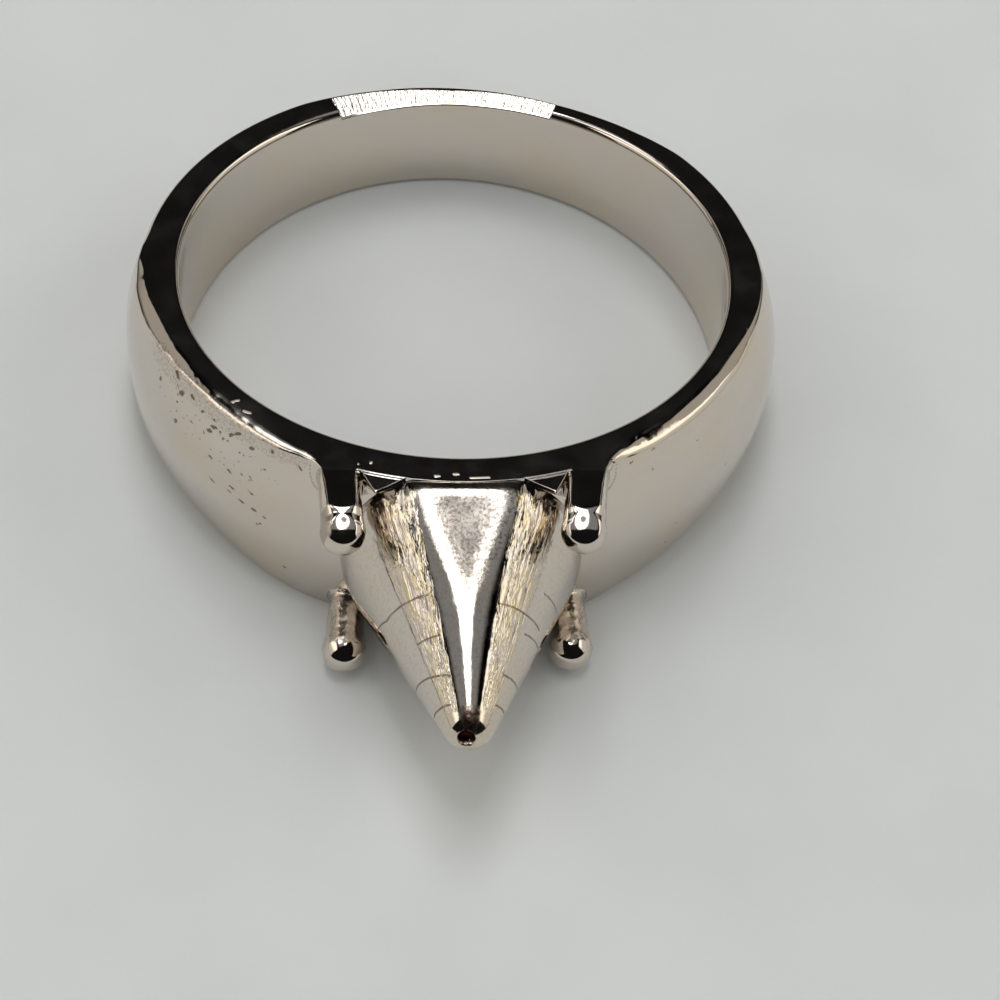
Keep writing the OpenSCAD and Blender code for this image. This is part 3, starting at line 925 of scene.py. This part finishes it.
def turned_plate(name, look):
    """Brass turned on a lathe, filed flat on two sides and plated thinly: a speckled
    filed flat, coarse streaks beside it that are darker where they lie lowest and gold
    where they stand highest, the gold partly thin plating and partly a painted warm
    highlight, thin brown turning marks and a pit with dirt in the tip."""
    made, tree, place = new_material(name)
    tint, rough, peel = plated_skin(tree, place, look)
    speckle = add(tree, "TexNoise", {"Vector": place}, {"Scale": scale_for(0.1), "Detail": 4.0})
    # Streaks: 0.14 mm wide at half the spike's radius, and 0.8 mm long
    unrolled = {}
    for axis, field, pitch in (("X", "angle_deg", 0.28), ("Y", "axis_mm", 1.25)):
        value = add(tree, "Attribute", out="Fac", attribute_name=field)
        unrolled[axis] = add(tree, "Math", {0: value}, {1: pitch}, operation="MULTIPLY")
    unrolled = add(tree, "CombineXYZ", unrolled)
    drawn = {"Scale": 1.0, "Detail": 3.0, "Distortion": 0.5}
    streaks = add(tree, "TexNoise", {"Vector": unrolled}, drawn)
    filed = field_mask(tree, "filed", 0.2, 0.9)
    coarse = field_mask(tree, "coarse", 0.1, 0.9, speckle, 0.5)
    pit = field_mask(tree, "pit", 0.3, 0.7, speckle, 0.4)
    unmarked = field_mask(tree, "marked", 0.02, 0.045, speckle, 0.03)
    marked = add(tree, "Math", {1: unmarked}, {0: 1.0}, operation="SUBTRACT")
    thinly = add(tree, "Math", {0: marked}, {1: 0.75}, operation="MULTIPLY")
    # The lowest streaks darker, grey mottling where the file left its marks, and a gold
    # tint on the highest streaks, partly thin plating and partly a painted warm highlight
    deep = add(tree, "MapRange", {"Value": streaks}, span(0.42, 0.32, 0.0, 0.6))
    mottle = add(tree, "MapRange", {"Value": speckle}, span(0.48, 0.62, 0.0, 0.55))
    most_filed = add(tree, "MapRange", {"Value": filed}, span(0.0, 1.0, 0.22, 1.0))
    high = add(tree, "MapRange", {"Value": streaks}, span(0.45, 0.65, 0.0, 0.8))
    lowest_streaks_darker, greyed, brass_and_painted_sheen = (
        add(tree, "Math", {0: share, 1: where}, operation="MULTIPLY")
        for share, where in ((deep, coarse), (mottle, most_filed), (high, coarse))
    )
    bumps = (
        (peel, 0.006, None), (speckle, 0.001, None), (speckle, 0.001, filed),
        (streaks, 0.055, coarse),
    )
    # The gold coat on the highest streaks is partly a painted warm highlight.
    coats = (
        (lowest_streaks_darker, look.grime), (greyed, look.grime), (brass_and_painted_sheen, look.worn), (thinly, look.grime),
        (pit, PIT_DIRT),
    )
    hazes = ((filed, 0.06), (marked, 0.25), (pit, 0.3))
    finish_metal(tree, tint, rough, bumps, coats, hazes)
    return made


def floor_material(look):
    """Matt painted board: pale grey, faintly clouded every 7 mm or so, with no gloss
    to mirror the ring."""
    made, tree, place = new_material("matt_board")
    clouds = add(tree, "TexNoise", {"Vector": place}, {"Scale": scale_for(7), "Detail": 5.0})
    share = add(tree, "MapRange", {"Value": clouds}, span(0.35, 0.7, 0.0, 0.08))
    colours = {6: (*look.floor, 1), 7: (*linear("#8f8f92"), 1)}
    tint = add(tree, "Mix", {0: share}, colours, 2, data_type="RGBA")
    matt = {"Roughness": 0.9, "Specular IOR Level": 0.1}
    paint = add(tree, "BsdfPrincipled", {"Base Color": tint}, matt)
    add(tree, "OutputMaterial", {"Surface": paint})
    return made


# Ovals of the lamp's cloth: the middle to the right and to the back, half the width
# and half the depth, in degrees from straight up. Then the share of the way to the
# oval's edge where the light starts and ends to change, and the light from and to.
LAMP_OVALS = (
    (0, 19, 10, 22, 0.85, 1.15, 1.0, 0.0),
    (2.6, 10, 6, 9, 0.6, 1.0, 0.03, 1.0),
    (-4, 13, 34, 34, 0.7, 1.02, 0.05, 0.0),
    (-25.5, 22.5, 11.5, 12, 0.75, 1.1, 0.32, 0.0),
)


def lamp_material(strength, height):
    """A cloth diffuser over a long lamp, lit from behind: white along the lamp, a dim
    spot where the lamp's holder blocks the light, grey where the light dies away to
    both sides, and a paler patch on the left. Places are angles from straight up, seen
    from the ring, which the tangent turns to metres."""
    made, tree, place = new_material("lamp_diffuser_cloth")
    spots = []
    for x_deg, y_deg, half_x_deg, half_y_deg, *change in LAMP_OVALS:
        x, y, half_x, top = (
            math.tan(math.radians(a)) * height
            for a in (x_deg, y_deg, half_x_deg, y_deg + half_y_deg)
        )
        from_middle = add(tree, "VectorMath", {0: place}, {1: (-x, -y, -height)}, operation="ADD")
        shape = {1: (1 / half_x, 1 / (top - y), 1)}
        scaled = add(tree, "VectorMath", {0: from_middle}, shape, operation="MULTIPLY")
        apart = add(tree, "VectorMath", {0: scaled}, out="Value", operation="LENGTH")
        spots.append(
            add(
                tree, "MapRange", {"Value": apart}, span(*change),
                interpolation_type="SMOOTHSTEP",
            )
        )
    lamp, dim, halo, left = spots
    beside = add(tree, "Math", {0: halo, 1: left}, operation="ADD")
    core = add(tree, "Math", {0: lamp, 1: dim}, operation="MULTIPLY")
    total = add(tree, "Math", {0: core, 1: beside}, operation="ADD")
    power = add(tree, "Math", {0: total}, {1: strength}, operation="MULTIPLY")
    glow = add(tree, "Emission", {"Strength": power}, {"Color": (*linear("#fcfdff"), 1)})
    add(tree, "OutputMaterial", {"Surface": glow})
    return made


def screen_material(name, tint, strength):
    """A cloth screen lit from behind: bright from 0.95 m up, and less than half as
    bright below half a metre."""
    made, tree, place = new_material(name)
    level = add(tree, "SeparateXYZ", {"Vector": place}, out="Z")
    power = add(
        tree, "MapRange", {"Value": level}, span(0.5, 0.95, 0.4 * strength, strength),
        interpolation_type="SMOOTHSTEP",
    )
    glow = add(tree, "Emission", {"Strength": power}, {"Color": (*tint, 1)})
    add(tree, "OutputMaterial", {"Surface": glow})
    return made


# ---------------------------------------------------------------------- operators


def in_mm(group):
    """A group's lengths in mm and its other values as they are, by name."""
    kept = {}
    for key, held in group.bl_rna.properties.items():
        if key in ("rna_type", "name"):
            continue
        value = getattr(group, key)
        kept[key] = value / MM if getattr(held, "unit", "") == "LENGTH" else value
    return kept


def capped_piece(name, band, metal, points, start, tip, fields):
    """A piece of the ring as a tube of points, closed by a cap at both ends."""
    caps = [lay(np.array(cap), band) for cap in (start, tip)]
    return surface(name, lay(points, band), metal, (False, True), caps, fields)


class SPIKERING_OT_band(bpy.types.Operator):
    """Build the band with its shoulders, bevels and ground facet"""

    bl_idname = "spikering.band"
    bl_label = "Band"

    def execute(self, context):
        scene = context.scene
        metal = buffed_plate("plated_brass_buffed", scene.spikering_metal)
        points, fields = band_points(in_mm(scene.spikering_band))
        band = surface("ring_band", lay(points, scene.spikering_band), metal, fields=fields)
        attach(band, "root")
        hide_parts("band")
        return {"FINISHED"}


class SPIKERING_OT_prongs(bpy.types.Operator):
    """Build the four prongs with their balls"""

    bl_idname = "spikering.prongs"
    bl_label = "Prongs"

    def execute(self, context):
        scene = context.scene
        band = scene.spikering_band
        sizes = in_mm(scene.spikering_prongs)
        metal = cast_plate("plated_brass_as_cast", scene.spikering_metal)
        for name, side, level, *ball_at in PRONGS:
            shape = prong_points(sizes, in_mm(band), side, level, ball_at)
            prong = capped_piece(f"prong_{name}", band, metal, *shape)
            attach(prong, "root")
        return {"FINISHED"}


class SPIKERING_OT_spike(bpy.types.Operator):
    """Build the spike"""

    bl_idname = "spikering.spike"
    bl_label = "Spike"

    def execute(self, context):
        scene = context.scene
        band = scene.spikering_band
        sizes = in_mm(scene.spikering_spike)
        metal = turned_plate("plated_brass_turned", scene.spikering_metal)
        spike = capped_piece("ring_spike", band, metal, *spike_points(sizes, in_mm(band)))
        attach(spike, "root")
        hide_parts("spike")
        return {"FINISHED"}


def panel(name, corners, material):
    """A flat four-sided panel of the stage, between four corners."""
    grid = np.array(corners, float).reshape(2, 2, 3)
    made = surface(name, grid, material, around=(False, False))


# Half the floor's side, in metres
FLOOR_HALF = 4.0
# The floor lies this much under the ring, so that the two faces do not fight.
FLOOR_DROP = 0.00001
# Ends of the lamp's cloth along X and Y, in metres
LAMP_X, LAMP_Y = (-1.0, 0.85), (-0.2, 1.4)
# Screens to both sides, in metres: name, share of the strength, front and back along Y,
# foot, and top at the front and at the back. Bright beside the ring, dim further back.
SCREENS = (
    ("bright", 1.0, -0.5, 0.72, 0.03, 1.3, 1.8),
    ("dim", 0.26, 0.73, 1.8, 0.3, 1.8, 1.4),
)
SCREEN_X = 1.2
SCREEN_TINT = linear("#fffaf0")
# How bright the room is in the metal's reflections
ROOM_IN_METAL = 0.008
# The camera's right, up and backward directions, and its place in mm, as the photo has it
CAMERA_AXES = (
    (0.99818448, -0.03576025, 0.048466),
    (-0.00151614, 0.78949832, 0.61375084),
    (-0.06021171, -0.61271005, 0.78801075),
)
CAMERA_MM = (-5.7014, -77.91683, 93.91142)


class SPIKERING_OT_stage(bpy.types.Operator):
    """Set up the floor, the lamp, the side screens, the room's light and the camera"""

    bl_idname = "spikering.stage"
    bl_label = "Stage"

    def execute(self, context):
        scene = context.scene
        look = scene.spikering_stage
        ends = (-FLOOR_HALF, FLOOR_HALF)
        corners = [(x, y, -FLOOR_DROP) for y in ends for x in ends]
        panel("floor", corners, floor_material(look))
        height = look.lamp_height
        corners = [(x, y, height) for y in LAMP_Y for x in LAMP_X]
        panel("lamp_diffuser", corners, lamp_material(look.lamp_strength, height))
        for side_name, x in (("left", -SCREEN_X), ("right", SCREEN_X)):
            for name, share, front, back, low, front_top, back_top in SCREENS:
                label = f"side_screen_{name}_{side_name}"
                glow = screen_material(label, SCREEN_TINT, share * look.side_strength)
                places = ((front, low), (back, low), (front, front_top), (back, back_top))
                panel(label, [(x, y, z) for y, z in places], glow)
        # The room lights the floor evenly, and the metal mirrors only a dark one.
        world = bpy.data.worlds.new("white_room_dark_to_the_metal")
        world.use_nodes = True
        tree = world.node_tree
        mirrored = add(tree, "LightPath", out="Is Glossy Ray")
        room = span(0.0, 1.0, look.room_strength, ROOM_IN_METAL)
        power = add(tree, "MapRange", {"Value": mirrored}, room)
        ground = tree.nodes["Background"]
        ground.inputs["Color"].default_value = (*linear("#fbfdff"), 1)
        tree.links.new(power, ground.inputs["Strength"])
        scene.world = world

        lens = bpy.data.cameras.new("camera")
        lens.lens = look.focal
        lens.sensor_width = 36
        lens.clip_start = 0.005
        camera = bpy.data.objects.new("camera", lens)
        rows = [(*row, place * MM) for row, place in zip(zip(*CAMERA_AXES), CAMERA_MM)]
        camera.matrix_world = Matrix([*rows, (0, 0, 0, 1)])
        scene.collection.objects.link(camera)
        scene.camera = camera
        scene.view_settings.view_transform = "Standard"
        return {"FINISHED"}


class SPIKERING_PT_panel(bpy.types.Panel):
    """The ring's steps and sizes"""

    bl_label = "Spike Ring"
    bl_idname = "SPIKERING_PT_panel"
    bl_space_type = "VIEW_3D"
    bl_region_type = "UI"
    bl_category = "Spike Ring"

    def draw(self, context):
        for operator in OPERATORS:
            self.layout.operator(operator.bl_idname)
        for key, kind in GROUPS.items():
            box = self.layout.box()
            box.label(text=kind.__doc__)
            group = getattr(context.scene, key)
            for name in kind.__annotations__:
                box.prop(group, name)


GROUPS = {
    "spikering_band": BandSizes,
    "spikering_prongs": ProngSizes,
    "spikering_spike": SpikeSizes,
    "spikering_metal": MetalLook,
    "spikering_stage": StageLook,
}
OPERATORS = (
    SPIKERING_OT_band,
    SPIKERING_OT_prongs,
    SPIKERING_OT_spike,
    SPIKERING_OT_stage,
)


def register():
    for kind in (*GROUPS.values(), *OPERATORS, SPIKERING_PT_panel):
        bpy.utils.register_class(kind)
    for key, kind in GROUPS.items():
        setattr(bpy.types.Scene, key, PointerProperty(type=kind))


def unregister():
    for key in GROUPS:
        delattr(bpy.types.Scene, key)
    for kind in (SPIKERING_PT_panel, *reversed(OPERATORS), *reversed(tuple(GROUPS.values()))):
        bpy.utils.unregister_class(kind)


def main():
    register()
    bpy.ops.spikering.band()
    bpy.ops.spikering.prongs()
    bpy.ops.spikering.spike()
    bpy.ops.spikering.stage()


if __name__ == "__main__":
    main()
